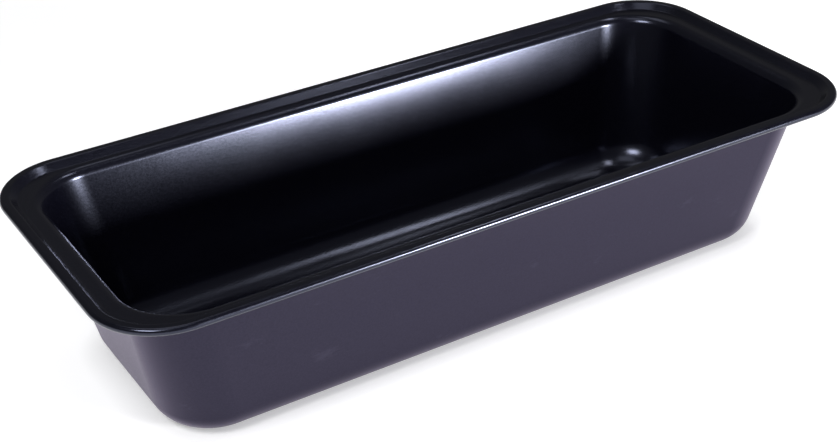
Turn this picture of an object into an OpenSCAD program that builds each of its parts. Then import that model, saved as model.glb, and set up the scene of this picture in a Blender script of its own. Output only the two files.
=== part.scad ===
// Long loaf pan: one drawn and coated steel sheet with a wire-stiffened rolled rim.
// Origin at the centre of the underside. +X runs along the pan, +Y across it, +Z up.

/* [Overall size] */
// Length over the rolled rim
pan_length = 310; // [260:1:340]
// Width over the rolled rim
pan_width = 133; // [120:1:160]
// Height from the underside to the crest of the rim
pan_height = 65.5; // [50:0.5:80]

/* [Sheet and wire] */
// Thickness of the bare steel sheet
sheet = 0.5; // [0.4:0.05:0.6]
// Thickness of the coating on each face of the sheet
coating = 0.1; // [0.08:0.01:0.12]
// Diameter of the wire inside the rolled rim
wire_dia = 1.4; // [1.2:0.1:1.6]
// Gap around the wire, inside the coated roll
wire_gap = 0.05; // [0.02:0.01:0.1]

/* [Rim] */
// Radius of the rim's corners, at its outermost edge
rim_corner = 27; // [22:0.5:32]
// Width of the crest, from the outermost edge to where it bends down
crest_width = 3.1; // [2.8:0.1:3.2]
// Angle of the riser between the crest and the flange, from level
riser_angle = 42; // [40:1:52]
// Drop from the crest down to the flange
flange_drop = 2.4; // [1.8:0.1:2.6]
// Mid-sheet radius of the two bends of the riser
riser_bend = 0.9; // [0.7:0.1:1]
// How far the sheet curls around the wire, in degrees
roll_turn = 265; // [200:5:270]

/* [Well] */
// Distance from the outermost edge to the start of the shoulder, at the two ends
end_margin = 10; // [9:0.1:14]
// Distance from the outermost edge to the start of the shoulder, along the two sides
side_margin = 7.4; // [7.4:0.1:9]
// Radius of the corners of the well, at the start of the shoulder
well_corner = 26.5; // [22:0.5:28]
// How far the walls lean out for each millimetre of height
wall_lean = 0.2; // [0.12:0.01:0.25]
// Mid-sheet radius of the shoulder, where the flange turns down into the wall
shoulder_bend = 3.7; // [2:0.1:5]
// Mid-sheet radius of the bend between the wall and the floor
floor_bend = 13; // [8:0.1:13]

/* [Hidden] */

$fn = 96;
bend_step = 7.5;            // largest turn between two points along a bend
overlap = 0.3;              // how far the well and the rim each reach into the flange
skin = sheet / 2 + coating; // from the middle of the sheet to its coated surface

// Heights of the middle of the sheet
floor_z = skin;
crest_z = pan_height - skin;
flange_z = crest_z - flange_drop;

// The roll: its mid-sheet radius, and the middle of the wire from the outermost edge
roll_bend = wire_dia / 2 + wire_gap + skin;
wire_inset = roll_bend + skin;
wire_z = crest_z - roll_bend;

// The riser between the flange and the crest
riser_straight = (flange_drop - 2 * riser_bend * (1 - cos(riser_angle))) / sin(riser_angle);
riser_run = 2 * riser_bend * sin(riser_angle) + riser_straight * cos(riser_angle);
riser_foot = crest_width + riser_run; // from the outermost edge to the foot of the riser

// The straight part of the walls, between the floor bend and the shoulder
wall_angle = atan(1 / wall_lean);   // from level
wall_low = floor_z + floor_bend;
wall_high = flange_z - shoulder_bend;
wall_rise = wall_high - wall_low;
wall_shift = wall_lean * wall_rise; // how much wider the walls stand at the top
wall_corner = well_corner - shoulder_bend / sin(wall_angle);

// Half sizes of the rectangle through the corner centres, for the rim and for the well's
// shoulder and floor
rim_centres = [pan_length / 2 - rim_corner, pan_width / 2 - rim_corner];
shoulder_centres = [
  pan_length / 2 - end_margin - well_corner,
  pan_width / 2 - side_margin - well_corner
];
floor_centres = shoulder_centres - [wall_shift, wall_shift];

// The two unit vectors of a heading
function ahead(heading) = [cos(heading), sin(heading)];
function left_of(heading) = [-sin(heading), cos(heading)];

// Points along a bend that starts at a heading and turns about a centre, "gap" to the left of
// the sheet's middle. A left turn is positive.
function bend(centre, radius, heading, turn, gap) =
  let (parts = ceil(abs(turn) / bend_step), side = sign(turn))
  [
    for (k = [0:parts])
      centre - (side * radius - gap) * left_of(heading + turn * k / parts)
  ];

// Radius of a wall's corner at its foot and at its top, "gap" inside the middle of the sheet
function wall_radius(gap) = wall_corner - gap / sin(wall_angle);

// Each outline runs outwards, as [distance out from the corner centre, height]
function floor_outline(gap) =
  let (start = wall_corner - floor_bend / sin(wall_angle))
  concat(
    [[0, floor_z + gap]],
    bend([start, wall_low], floor_bend, 0, wall_angle, gap),
    [[wall_radius(gap), wall_low]]
  );

function shoulder_outline(gap) =
  concat(
    [[wall_radius(gap), wall_high]],
    bend([well_corner, wall_high], shoulder_bend, wall_angle, -wall_angle, gap),
    [[well_corner + overlap, flange_z + gap]]
  );

function rim_outline(gap) =
  let (
    foot = [rim_corner - riser_foot, flange_z + riser_bend],
    edge = [rim_corner - crest_width, crest_z - riser_bend],
    roll = [rim_corner - wire_inset, wire_z]
  )
  concat(
    [[foot.x - overlap, flange_z + gap]],
    bend(foot, riser_bend, 0, riser_angle, gap),
    bend(edge, riser_bend, riser_angle, -riser_angle, gap),
    bend(roll, roll_bend, 0, -roll_turn, gap)
  );

function reversed(points) = [for (i = [len(points) - 1:-1:0]) points[i]];

// Carries a cross-section round a rounded rectangle, given the half sizes between its corner
// centres. The cross-section's X is the distance outwards from the line through the centres.
module carry_round(centres) {
  for (turn = [0, 180]) {
    rotate(turn) {
      translate(centres) rotate_extrude(angle = 90) children();
      translate([-centres.x, centres.y]) rotate(90) rotate_extrude(angle = 90) children();
      translate([centres.x, centres.y]) rotate([90, 0, 0]) linear_extrude(2 * centres.y)
        children();
      translate([-centres.x, centres.y]) rotate([90, 0, 90]) linear_extrude(2 * centres.x)
        children();
    }
  }
}

module rounded_rectangle(centres, radius) {
  square([2 * (centres.x + radius), 2 * centres.y], center = true);
  square([2 * centres.x, 2 * (centres.y + radius)], center = true);
  for (x = [-1, 1], y = [-1, 1]) {
    translate([x * centres.x, y * centres.y]) circle(radius);
  }
}

// Everything inside a corner of a given radius about the origin, back past the middle of the pan
module corner_area(radius) {
  back = [-pan_length, -pan_length];
  circle(radius);
  translate(back) square([pan_length, pan_length + radius]);
  translate(back) square([pan_length + radius, pan_length]);
}

// A quarter of the walls. The corner leans outwards along its diagonal and keeps its radius.
// The leaning block is made a little too tall, and cut level.
module wall_quarter(low, high) {
  spare = 1;
  lean = [
    [1, 0, wall_lean, 0],
    [0, 1, wall_lean, 0],
    [0, 0, 1, 0]
  ];
  intersection() {
    translate([floor_centres.x, floor_centres.y, wall_low]) multmatrix(lean)
      translate([0, 0, -spare]) linear_extrude(wall_rise + 2 * spare) difference() {
        corner_area(wall_radius(low));
        corner_area(wall_radius(high));
      }
    translate([0, 0, wall_low]) cube([pan_length, pan_width, wall_rise]);
  }
}

// One layer of the pressed sheet, between two distances from its middle surface
module pressed_layer(low, high) {
  // Middle of the floor
  translate([-floor_centres.x, -floor_centres.y, floor_z + low])
    cube([2 * floor_centres.x, 2 * floor_centres.y, high - low]);
  // Edge of the floor and its bend
  carry_round(floor_centres)
    polygon(concat(floor_outline(low), reversed(floor_outline(high))));
  // Walls
  for (x = [0, 1], y = [0, 1]) {
    mirror([x, 0, 0]) mirror([0, y, 0])
      wall_quarter(low, high);
  }
  // Shoulder
  carry_round(shoulder_centres)
    polygon(concat(shoulder_outline(low), reversed(shoulder_outline(high))));
  // Flange
  translate([0, 0, flange_z + low]) linear_extrude(high - low) difference() {
    rounded_rectangle(rim_centres, rim_corner - riser_foot);
    rounded_rectangle(shoulder_centres, well_corner);
  }
  // Riser, crest and roll
  carry_round(rim_centres)
    polygon(concat(rim_outline(low), reversed(rim_outline(high))));
}

module pan_body() {
  color("dimgray") pressed_layer(-sheet / 2, sheet / 2);
}

module inner_coating() {
  color([0.06, 0.06, 0.08]) pressed_layer(sheet / 2, skin);
}

module outer_coating() {
  color([0.24, 0.23, 0.27]) pressed_layer(-skin, -sheet / 2);
}

module rim_wire() {
  color("silver") carry_round(rim_centres)
    translate([rim_corner - wire_inset, wire_z]) circle(d = wire_dia);
}

pan_body();
inner_coating();
outer_coating();
rim_wire();
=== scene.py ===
"""A long loaf pan of pressed, coated sheet steel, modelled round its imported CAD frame.

The pan is one pressed sheet. Its mid-surface is laid out as rings round the pan, from the
middle of the floor out to the cut edge inside the rolled rim. Each layer of the pan, which is the
steel and the coating on each side of it, is the space between two distances from that surface.
"""

import math

import bpy
import numpy as np
from mathutils import Matrix, Vector


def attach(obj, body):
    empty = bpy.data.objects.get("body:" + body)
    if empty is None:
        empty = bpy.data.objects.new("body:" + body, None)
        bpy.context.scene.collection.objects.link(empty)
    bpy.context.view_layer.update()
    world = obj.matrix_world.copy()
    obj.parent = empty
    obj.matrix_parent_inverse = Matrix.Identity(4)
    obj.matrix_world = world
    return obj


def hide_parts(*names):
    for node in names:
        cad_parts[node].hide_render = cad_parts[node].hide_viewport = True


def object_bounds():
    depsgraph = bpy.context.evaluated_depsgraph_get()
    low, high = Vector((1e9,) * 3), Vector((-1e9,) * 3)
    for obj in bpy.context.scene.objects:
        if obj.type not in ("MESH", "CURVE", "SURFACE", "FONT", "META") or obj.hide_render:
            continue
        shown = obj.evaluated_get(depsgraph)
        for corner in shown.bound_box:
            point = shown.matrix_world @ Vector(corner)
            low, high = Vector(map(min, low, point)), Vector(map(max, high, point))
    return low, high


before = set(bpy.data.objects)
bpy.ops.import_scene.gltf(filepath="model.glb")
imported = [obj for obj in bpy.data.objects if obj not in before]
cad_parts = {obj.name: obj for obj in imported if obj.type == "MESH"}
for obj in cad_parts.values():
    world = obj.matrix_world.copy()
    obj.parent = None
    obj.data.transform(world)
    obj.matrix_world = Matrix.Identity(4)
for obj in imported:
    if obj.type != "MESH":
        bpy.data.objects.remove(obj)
cad_low, cad_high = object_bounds()

MM = 0.001  # the pan's sizes below are in millimetres, and Blender works in metres

# ---------------------------------------------------------------- sizes of the pan, in mm

pan_length, pan_width, pan_height = (cad_high - cad_low) / MM

SHEET = 0.5  # thickness of the bare steel
COATING = 0.1  # thickness of the coating on each side
SKIN = SHEET / 2 + COATING  # from the middle of the sheet to its coated surface

WIRE_RADIUS = 0.7
WIRE_GAP = 0.05

RIM_CORNER = 27.0
CREST_WIDTH = 3.1
RISER_ANGLE = math.radians(42)
RISER_BEND = 0.9
FLANGE_DROP = 2.4
ROLL_TURN = math.radians(265)

END_MARGIN = 10.0
SIDE_MARGIN = 7.4
WELL_CORNER = 26.5
WALL_LEAN = 0.2
SHOULDER_BEND = 3.7
FLOOR_BEND = 13.0
FLARE = 0.08  # extra lean the walls take on towards the shoulder
FLARE_HEIGHT = 21.0  # how far below the top of the wall the flare starts
FLARE_FADE = 0.35  # share of a straight half side over which the flare dies out

FLOOR_Z = SKIN
CREST_Z = pan_height - SKIN
FLANGE_Z = CREST_Z - FLANGE_DROP
ROLL_BEND = WIRE_RADIUS + WIRE_GAP + SKIN
WIRE_INSET = ROLL_BEND + SKIN  # from the outermost edge to the middle of the wire
WIRE_Z = CREST_Z - ROLL_BEND

bends_rise = 2 * RISER_BEND * (1 - math.cos(RISER_ANGLE))
riser_straight = (FLANGE_DROP - bends_rise) / math.sin(RISER_ANGLE)
riser_run = 2 * RISER_BEND * math.sin(RISER_ANGLE) + riser_straight * math.cos(RISER_ANGLE)
RISER_FOOT = CREST_WIDTH + riser_run  # from the outermost edge to the foot of the riser

WALL_LOW = FLOOR_Z + FLOOR_BEND
WALL_HIGH = FLANGE_Z - SHOULDER_BEND
WALL_RISE = WALL_HIGH - WALL_LOW
WALL_CORNER = WELL_CORNER - SHOULDER_BEND * math.hypot(1, WALL_LEAN)

# Half sizes of the rectangle through the corner centres, for the rim and for the walls' foot
rim_centres = np.array([pan_length / 2 - RIM_CORNER, pan_width / 2 - RIM_CORNER])
shoulder_centres = np.array([
    pan_length / 2 - END_MARGIN - WELL_CORNER,
    pan_width / 2 - SIDE_MARGIN - WELL_CORNER,
])
foot_centres = shoulder_centres - WALL_LEAN * WALL_RISE

# ---------------------------------------------------------------- stations round the pan

CORNER_STEPS = 18
END_STEPS = 12
SIDE_STEPS = 44

# Steps across the sheet's cross-section
FLOOR_SHARES = (0, 0.4, 0.75, 0.95)  # rings of the floor, from its inner ring to its edge
FLOOR_INSET = 12  # from the floor bend's corner centres in to those of the floor's inner ring
FLOOR_CORNER = 4.0  # corner radius of the floor's inner ring
FLOOR_BEND_STEPS = 16
WALL_STEPS = 14
SHOULDER_STEPS = 12
FLANGE_SHARES = (0.08, 0.3, 0.7, 0.92)  # rings of the flange, from the shoulder to the riser
RISER_STEPS = 7
ROLL_STEPS = 34
WIRE_SIDES = 20


def side_shares(steps):
    """Places along a straight side, from -1 to 1, closer together near its ends."""
    return np.sin(np.linspace(-math.pi / 2, math.pi / 2, steps + 1))[1:-1]


def make_stations():
    """For each station round the pan: the share of the corner centres to take in x and y, and
    the direction outwards. They run anticlockwise from the middle of the right-hand end."""
    place, out = [], []
    ends, sides = side_shares(END_STEPS), side_shares(SIDE_STEPS)
    corners = [(1, 1), (-1, 1), (-1, -1), (1, -1)]
    for quarter, corner in enumerate(corners):
        for angle in quarter * math.pi / 2 + np.linspace(0, math.pi / 2, CORNER_STEPS + 1):
            place.append(corner)
            out.append((math.cos(angle), math.sin(angle)))
        after = corners[(quarter + 1) % 4]
        along = sides if quarter % 2 == 0 else ends
        for share in (along + 1) / 2:
            place.append(tuple(c + (a - c) * share for c, a in zip(corner, after)))
            out.append((round(math.cos(angle), 9), round(math.sin(angle), 9)))
    place, out = np.array(place), np.array(out)
    middle = len(ends) // 2 + 1  # stations of the right-hand end that come after its middle
    return np.roll(place, middle, axis=0), np.roll(out, middle, axis=0)


place, outward = make_stations()
STATIONS = len(place)
up = np.array([0.0, 0.0, 1.0])


def ring(centres, radius, z):
    """A ring round the pan, as one point for each station. The radius and the height are one
    number each, or one for each station."""
    flat = place * centres + outward * np.reshape(radius, (-1, 1))
    return np.column_stack([flat, np.broadcast_to(z, STATIONS)])


# ---------------------------------------------------------------- the sheet's mid-surface


def blend_directions(start, end, steps):
    """Unit vectors turning evenly from start to end, for each station."""
    angle = np.arccos(np.clip((start * end).sum(axis=1, keepdims=True), -1, 1))
    for t in np.linspace(0, 1, steps + 1):
        yield (np.sin((1 - t) * angle) * start + np.sin(t * angle) * end) / np.sin(angle)


def flare_share(z):
    """How far up the flared top of the wall a height is: 0 below it, 1 at the shoulder."""
    return np.maximum(0, 1 - (WALL_HIGH - z) / FLARE_HEIGHT)


def wall_ring(z):
    """Points of the wall and its normals out of the pan, at a height for each station."""
    z = np.broadcast_to(z, STATIONS)
    lean = WALL_LEAN * np.abs(outward).sum(axis=1)
    fade = np.clip((1 - np.abs(place).min(axis=1)) / FLARE_FADE, 0, 1)
    flare = FLARE * fade**2 * (3 - 2 * fade)
    share = flare_share(z)
    bow = flare * FLARE_HEIGHT / 2 * (share**2 - (z - WALL_LOW) / WALL_RISE)
    centres = foot_centres + WALL_LEAN * (z - WALL_LOW)[:, None]
    slope = lean + flare * (share - FLARE_HEIGHT / (2 * WALL_RISE))
    out = np.column_stack([outward, -slope])
    return ring(centres, WALL_CORNER + bow, z), out / np.linalg.norm(out, axis=1, keepdims=True)


def well_rings():
    """Floor, floor bend, wall and shoulder, as (points, normals into the pan)."""
    ups = np.tile(up, (STATIONS, 1))

    # A ball rolled along the inside of the floor bend, and one along the outside of the shoulder
    _, foot_out = wall_ring(WALL_LOW)
    foot, _ = wall_ring(WALL_LOW + FLOOR_BEND * foot_out[:, 2])
    floor_ball = foot - FLOOR_BEND * foot_out
    _, top_out = wall_ring(WALL_HIGH)
    top, top_out = wall_ring(WALL_HIGH - SHOULDER_BEND * top_out[:, 2])
    shoulder_ball = top + SHOULDER_BEND * top_out

    rings = []
    floor_edge = floor_ball - FLOOR_BEND * ups
    floor_start = ring(foot_centres - FLOOR_INSET, FLOOR_CORNER, FLOOR_Z)
    for share in FLOOR_SHARES:
        rings.append((floor_start + (floor_edge - floor_start) * share, ups))
    for direction in blend_directions(-ups, foot_out, FLOOR_BEND_STEPS):
        rings.append((floor_ball + FLOOR_BEND * direction, -direction))
    for share in (1 - np.cos(np.linspace(0, math.pi, WALL_STEPS + 1)[1:-1])) / 2:
        points, out = wall_ring(foot[:, 2] + (top[:, 2] - foot[:, 2]) * share)
        rings.append((points, -out))
    for direction in blend_directions(-top_out, ups, SHOULDER_STEPS):
        rings.append((shoulder_ball + SHOULDER_BEND * direction, direction))
    return rings


def bend(centre, radius, heading, turn, steps):
    """Middle of a bent strip in cross-section, as (distance out, height, heading)."""
    side = math.copysign(1, turn)
    for angle in np.linspace(heading, heading + turn, steps + 1):
        yield (
            centre[0] + side * radius * math.sin(angle),
            centre[1] - side * radius * math.cos(angle),
            angle,
        )


def rim_rings():
    """Riser, crest and roll, as (points, normals out of the upper side)."""
    foot = (RIM_CORNER - RISER_FOOT, FLANGE_Z + RISER_BEND)
    edge = (RIM_CORNER - CREST_WIDTH, CREST_Z - RISER_BEND)
    roll = (RIM_CORNER - WIRE_INSET, WIRE_Z)
    section = [
        *bend(foot, RISER_BEND, 0, RISER_ANGLE, RISER_STEPS),
        *bend(edge, RISER_BEND, RISER_ANGLE, -RISER_ANGLE, RISER_STEPS),
        *bend(roll, ROLL_BEND, 0, -ROLL_TURN, ROLL_STEPS),
    ]
    rings = []
    for distance, z, heading in section:
        normals = np.column_stack([
            -math.sin(heading) * outward,
            np.full(STATIONS, math.cos(heading)),
        ])
        rings.append((ring(rim_centres, np.full(STATIONS, distance), z), normals))
    return rings


def sheet_rings():
    """The whole mid-surface: an array of points and one of normals, ring by ring."""
    well, rim = well_rings(), rim_rings()
    (start, ups), (end, _) = well[-1], rim[0]
    flange = [(start + (end - start) * share, ups) for share in FLANGE_SHARES]
    rings = well + flange + rim
    return np.array([p for p, _ in rings]), np.array([n for _, n in rings])


# ---------------------------------------------------------------- meshes


def make_piece(name, vertices, faces, normals, node, material):
    """A smooth-shaded object that stands for one CAD node."""
    mesh = bpy.data.meshes.new(name)
    mesh.from_pydata((np.asarray(vertices) * MM).tolist(), [], faces)
    mesh.validate()
    mesh.shade_smooth()
    mesh.normals_split_custom_set_from_vertices(np.asarray(normals).tolist())
    mesh.materials.append(material)
    piece = bpy.data.objects.new(name, mesh)
    bpy.context.scene.collection.objects.link(piece)
    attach(piece, "root")
    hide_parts(node)
    return piece


def grid_faces(first, rings):
    """Quads between neighbouring rings and stations, facing the upper side of the sheet."""
    faces = []
    for r in range(rings - 1):
        for s in range(STATIONS):
            t = (s + 1) % STATIONS
            a, b = first + r * STATIONS, first + (r + 1) * STATIONS
            faces.append((a + s, b + s, b + t, a + t))
    return faces


def floor_faces(first):
    """Fills the innermost ring with strips across the pan, facing up."""
    half = STATIONS // 2
    faces = [(first, first + 1, first + STATIONS - 1)]
    for s in range(1, half - 1):
        faces.append((first + s, first + s + 1, first + STATIONS - s - 1, first + STATIONS - s))
    faces.append((first + half - 1, first + half, first + half + 1))
    return faces


def flipped(faces):
    return [tuple(reversed(face)) for face in faces]


def make_layer(name, low, high, node, material):
    """One closed layer of the sheet, between two distances from its mid-surface."""
    points, normals = sheet_rings()
    rings = len(points)
    upper = (points + high * normals).reshape(-1, 3)
    lower = (points + low * normals).reshape(-1, 3)
    count = len(upper)
    faces = grid_faces(0, rings) + floor_faces(0)
    faces += flipped(grid_faces(count, rings) + floor_faces(count))
    edge = (rings - 1) * STATIONS
    for s in range(STATIONS):
        t = (s + 1) % STATIONS
        faces.append((edge + s, count + edge + s, count + edge + t, edge + t))
    normals = normals.reshape(-1, 3)
    return make_piece(
        name,
        np.concatenate([upper, lower]),
        faces,
        np.concatenate([normals, -normals]),
        node,
        material,
    )


def make_wire(name, node, material):
    """The round wire inside the roll, as a closed hoop."""
    points, normals = [], []
    for angle in np.arange(WIRE_SIDES) * 2 * math.pi / WIRE_SIDES:
        distance = RIM_CORNER - WIRE_INSET + WIRE_RADIUS * math.cos(angle)
        z = WIRE_Z + WIRE_RADIUS * math.sin(angle)
        points.append(ring(rim_centres, np.full(STATIONS, distance), z))
        normals.append(np.column_stack([
            math.cos(angle) * outward,
            np.full(STATIONS, math.sin(angle)),
        ]))
    faces = []
    for r in range(WIRE_SIDES):
        for s in range(STATIONS):
            t = (s + 1) % STATIONS
            a, b = r * STATIONS, (r + 1) % WIRE_SIDES * STATIONS
            faces.append((a + s, a + t, b + t, b + s))
    return make_piece(
        name,
        np.concatenate(points),
        faces,
        np.concatenate(normals),
        node,
        material,
    )


# ---------------------------------------------------------------- materials

MICRON = 1e-6  # depths of bumps, in metres

FLOOR_GLOW = 0.66  # strength of the floor's own light
FLOOR_ROUGHNESS = 0.9
# Painted contact shadow: the floor's glow is dimmed beside the pan's foot, not shaded by the pan
CONTACT_SHADE = 0.25  # share of the floor's glow that is left beside the pan's foot
SHADE_BOX = (0.11, 0.024, 0)  # half size of the middle of the shaded patch, in metres
SHADE_FADE = (0.01, 0.03)  # distances from it between which the shade fades out


class Shader:
    """A node material under construction."""

    def __init__(self, name):
        self.material = bpy.data.materials.new(name)
        self.material.use_nodes = True
        self.tree = self.material.node_tree
        self.surface = self.tree.nodes["Principled BSDF"]
        self.place = self.add("ShaderNodeTexCoord").outputs["Object"]

    def add(self, kind, **settings):
        node = self.tree.nodes.new(kind)
        for key, value in settings.items():
            setattr(node, key, value)
        return node

    def link(self, source, target):
        self.tree.links.new(source, target)

    def noise(self, size, detail=3.0, roughness=0.6, stretch=(1, 1, 1)):
        """Noise whose features are about "size" metres across."""
        mapping = self.add("ShaderNodeMapping")
        mapping.inputs["Scale"].default_value = stretch
        self.link(self.place, mapping.inputs["Vector"])
        node = self.add("ShaderNodeTexNoise")
        node.inputs["Scale"].default_value = 1 / size
        node.inputs["Detail"].default_value = detail
        node.inputs["Roughness"].default_value = roughness
        self.link(mapping.outputs["Vector"], node.inputs["Vector"])
        return node.outputs["Fac"]

    def span(self, value, low, high, start=0.3, end=0.7):
        """Maps a value between start and end onto low to high."""
        node = self.add("ShaderNodeMapRange")
        node.inputs["From Min"].default_value = start
        node.inputs["From Max"].default_value = end
        node.inputs["To Min"].default_value = low
        node.inputs["To Max"].default_value = high
        self.link(value, node.inputs["Value"])
        return node.outputs["Result"]

    def height(self):
        """Height above the underside of the pan, in metres."""
        node = self.add("ShaderNodeSeparateXYZ")
        self.link(self.place, node.inputs["Vector"])
        return node.outputs["Z"]

    def maths(self, operation, first, second):
        node = self.add("ShaderNodeMath", operation=operation)
        for socket, value in zip(node.inputs, (first, second)):
            if isinstance(value, (int, float)):
                socket.default_value = value
            else:
                self.link(value, socket)
        return node.outputs["Value"]

    def colour(self, value, dark, light, start=0.3, end=0.7):
        """Blends two colours by a value."""
        node = self.add("ShaderNodeMix", data_type="RGBA")
        node.inputs["A"].default_value = (*dark, 1)
        node.inputs["B"].default_value = (*light, 1)
        self.link(self.span(value, 0, 1, start, end), node.inputs["Factor"])
        return node.outputs["Result"]

    def blend(self, value, under, over):
        """Lays a plain colour over another by a value from 0 to 1."""
        node = self.add("ShaderNodeMix", data_type="RGBA")
        self.link(value, node.inputs["Factor"])
        self.link(under, node.inputs["A"])
        node.inputs["B"].default_value = (*over, 1)
        return node.outputs["Result"]

    def bump(self, heights):
        """Stacks bumps, each given as (value, depth in metres)."""
        normal = None
        for value, depth in heights:
            node = self.add("ShaderNodeBump")
            node.inputs["Strength"].default_value = 1.0
            node.inputs["Distance"].default_value = depth
            self.link(value, node.inputs["Height"])
            if normal is not None:
                self.link(normal, node.inputs["Normal"])
            normal = node.outputs["Normal"]
        self.link(normal, self.surface.inputs["Normal"])

    def set(self, name, value):
        socket = self.surface.inputs[name]
        if hasattr(value, "node"):
            self.link(value, socket)
        else:
            socket.default_value = value


def inner_coating_material():
    """Near-black satin non-stick, with a fine grain and a violet cast in its sheen."""
    shader = Shader("inner_coating")
    grain = shader.noise(0.8 * MM, detail=4, roughness=0.6)
    cloud = shader.noise(30 * MM, detail=2)
    shader.set("Base Color", shader.colour(grain, (0.0012, 0.0012, 0.003), (0.0028, 0.0026, 0.006)))
    rough = shader.maths("ADD", shader.span(cloud, 0.205, 0.23), shader.span(grain, -0.02, 0.03))
    # The crest is polished in patches by handling
    crest = shader.span(shader.height(), 0, 1, (pan_height - 1.5) * MM, (pan_height - 0.3) * MM)
    patches = shader.span(shader.noise(7 * MM, detail=6), 0, 0.06, 0.42, 0.62)
    polish = shader.maths("MULTIPLY", crest, patches)
    shader.set("Roughness", shader.maths("SUBTRACT", rough, polish))
    shader.set("IOR", 1.6)
    shader.set("Specular Tint", (0.68, 0.73, 1.0, 1))
    shader.bump([(cloud, 30 * MICRON), (grain, 11 * MICRON)])
    return shader.material


def outer_coating_material():
    """Satin violet-grey coating of dark metal flake, with fine grain and faint scuffs."""
    shader = Shader("outer_coating")
    grain = shader.noise(0.7 * MM, detail=4, roughness=0.6)
    cloud = shader.noise(40 * MM, detail=2)
    tone = shader.colour(grain, (0.0285, 0.0263, 0.0425), (0.0355, 0.033, 0.053))
    marks = shader.noise(9 * MM, detail=8, roughness=0.75, stretch=(0.35, 1, 1))
    scuffs = shader.span(marks, 0, 1, 0.6, 0.8)
    shader.set("Base Color", shader.blend(scuffs, tone, (0.06, 0.056, 0.085)))
    shader.set("Metallic", 1.0)
    rough = shader.maths("ADD", shader.span(cloud, 0.3, 0.34), shader.span(grain, -0.03, 0.04))
    shader.set("Roughness", rough)
    shader.set("Specular Tint", (0.93, 0.88, 1.0, 1))
    shader.bump([(cloud, 30 * MICRON), (grain, 8 * MICRON)])
    return shader.material


def steel_material(name, colour, roughness):
    """Bare steel with a drawn grain."""
    shader = Shader(name)
    grain = shader.noise(0.5 * MM, detail=3, stretch=(0.1, 1, 1))
    shader.set("Base Color", shader.colour(grain, [c * 0.85 for c in colour], colour))
    shader.set("Metallic", 1.0)
    shader.set("Roughness", shader.span(grain, roughness - 0.05, roughness + 0.05))
    shader.bump([(grain, 4 * MICRON)])
    return shader.material


def floor_material():
    """A pale sweep with a faint unevenness, lit a little from below like a product table, with a
    painted contact shadow where its glow is dimmed round the pan's foot.
    """
    shader = Shader("studio_floor")
    cloud = shader.noise(500 * MM, detail=2)
    tone = shader.colour(cloud, (0.86, 0.86, 0.87), (0.88, 0.88, 0.89))
    shader.set("Base Color", tone)
    shader.set("Roughness", FLOOR_ROUGHNESS)
    shader.set("Specular IOR Level", 0.1)
    shader.set("Emission Color", tone)

    # Painted contact shadow: the glow fades towards the pan, by the distance from a flat box in the
    # middle of the shade
    size = shader.add("ShaderNodeVectorMath", operation="ABSOLUTE")
    beyond = shader.add("ShaderNodeVectorMath", operation="SUBTRACT")
    outside = shader.add("ShaderNodeVectorMath", operation="MAXIMUM")
    distance = shader.add("ShaderNodeVectorMath", operation="LENGTH")
    shader.link(shader.place, size.inputs[0])
    shader.link(size.outputs["Vector"], beyond.inputs[0])
    beyond.inputs[1].default_value = SHADE_BOX
    shader.link(beyond.outputs["Vector"], outside.inputs[0])
    outside.inputs[1].default_value = (0, 0, 0)
    shader.link(outside.outputs["Vector"], distance.inputs[0])
    shaded = CONTACT_SHADE * FLOOR_GLOW
    glow = shader.span(distance.outputs["Value"], shaded, FLOOR_GLOW, *SHADE_FADE)
    shader.set("Emission Strength", glow)
    return shader.material


# ---------------------------------------------------------------- the pan

make_layer(
        "pan_sheet",
        -SHEET / 2,
        SHEET / 2,
        "pan_body",
        steel_material("steel_sheet", (0.38, 0.38, 0.4), 0.35),
    )
make_layer("pan_inner_coating", SHEET / 2, SKIN, "inner_coating", inner_coating_material())
make_layer("pan_outer_coating", -SKIN, -SHEET / 2, "outer_coating", outer_coating_material())
make_wire("pan_rim_wire", "rim_wire", steel_material("rim_wire", (0.55, 0.55, 0.56), 0.3))

# ---------------------------------------------------------------- studio

FLOOR_HALF_SIZE = 4.0  # in metres
FLOOR_GAP = 0.2 * MM  # between the floor and the pan
WORLD_BRIGHTNESS = 0.1


def make_floor():
    """A large level floor just under the pan."""
    size = FLOOR_HALF_SIZE
    mesh = bpy.data.meshes.new("studio_floor")
    corners = [(-size, -size, 0), (size, -size, 0), (size, size, 0), (-size, size, 0)]
    mesh.from_pydata(corners, [], [(0, 1, 2, 3)])
    mesh.materials.append(floor_material())
    floor = bpy.data.objects.new("studio_floor", mesh)
    floor.location.z = -FLOOR_GAP
    bpy.context.scene.collection.objects.link(floor)


def make_soft_light(name, azimuth, elevation, distance, size, radiance):
    """A rectangular soft light facing the pan, with its size in metres. Azimuth 0 is in front,
    on -Y, and 90 is on +X."""
    light = bpy.data.lights.new(name, "AREA")
    light.shape = "RECTANGLE"
    light.size, light.size_y = size
    light.energy = radiance * math.pi * size[0] * size[1]
    a, e = math.radians(azimuth), math.radians(elevation)
    away = Vector((math.sin(a) * math.cos(e), -math.cos(a) * math.cos(e), math.sin(e)))
    lamp = bpy.data.objects.new(name, light)
    lamp.location = Vector((0, 0, pan_height * MM)) + away * distance
    lamp.rotation_mode = "QUATERNION"
    lamp.rotation_quaternion = away.to_track_quat("Z", "Y")
    lamp.visible_camera = False
    bpy.context.scene.collection.objects.link(lamp)


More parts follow.
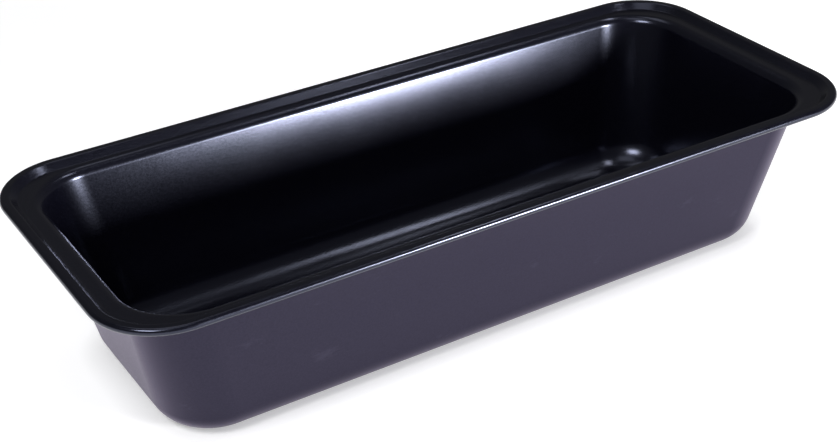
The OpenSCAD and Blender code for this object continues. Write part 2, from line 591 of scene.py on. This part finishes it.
def make_world(brightness):
    """A plain, dim surround of one brightness."""
    world = bpy.data.worlds.new("studio")
    world.use_nodes = True
    world.node_tree.nodes["Background"].inputs["Color"].default_value = (1, 1, 1, 1)
    world.node_tree.nodes["Background"].inputs["Strength"].default_value = brightness
    bpy.context.scene.world = world


make_floor()
make_world(WORLD_BRIGHTNESS)

# Name, azimuth, elevation, distance, size and radiance
make_soft_light("window", 28, 6.5, 1.1, (0.22, 0.19), 150)
make_soft_light("key", 78, 62, 1.2, (0.4, 0.06), 17)
make_soft_light("left_fill", -60, 47, 1.2, (0.4, 0.34), 17)
make_soft_light("back", 180, 67, 1.2, (0.6, 0.35), 1.2)
make_soft_light("overhead", -35, 80, 1.2, (0.5, 0.5), 1)
bpy.context.scene.view_settings.view_transform = "Standard"

# ---------------------------------------------------------------- camera

CAMERA_AZIMUTH = math.radians(-30.607)
CAMERA_ELEVATION = math.radians(29.866)
CAMERA_ROLL = math.radians(-2.046)
CAMERA_DISTANCE = 0.63232  # along its axis, in metres
CAMERA_SIDEWAYS = -0.007377
CAMERA_UPWARDS = 0.024622
SENSOR_WIDTH = 36  # in millimetres
LENS = 68.53
CLIP_START = 0.01


def make_camera():
    """The camera, placed by the direction it looks back along, and turned a little about it."""
    azimuth, elevation = CAMERA_AZIMUTH, CAMERA_ELEVATION
    back = Vector((
        math.sin(azimuth) * math.cos(elevation),
        -math.cos(azimuth) * math.cos(elevation),
        math.sin(elevation),
    ))
    right = (-back).cross(Vector((0, 0, 1))).normalized()
    above = right.cross(-back)
    camera = bpy.data.objects.new("camera", bpy.data.cameras.new("camera"))
    axes = Matrix((right, above, back)).transposed().to_4x4()
    camera.matrix_world = (
        Matrix.Translation(
            back * CAMERA_DISTANCE + right * CAMERA_SIDEWAYS + above * CAMERA_UPWARDS
        )
        @ axes
        @ Matrix.Rotation(CAMERA_ROLL, 4, "Z")
    )
    camera.data.sensor_width = SENSOR_WIDTH
    camera.data.lens = LENS
    camera.data.clip_start = CLIP_START
    bpy.context.scene.collection.objects.link(camera)
    bpy.context.scene.camera = camera


make_camera()
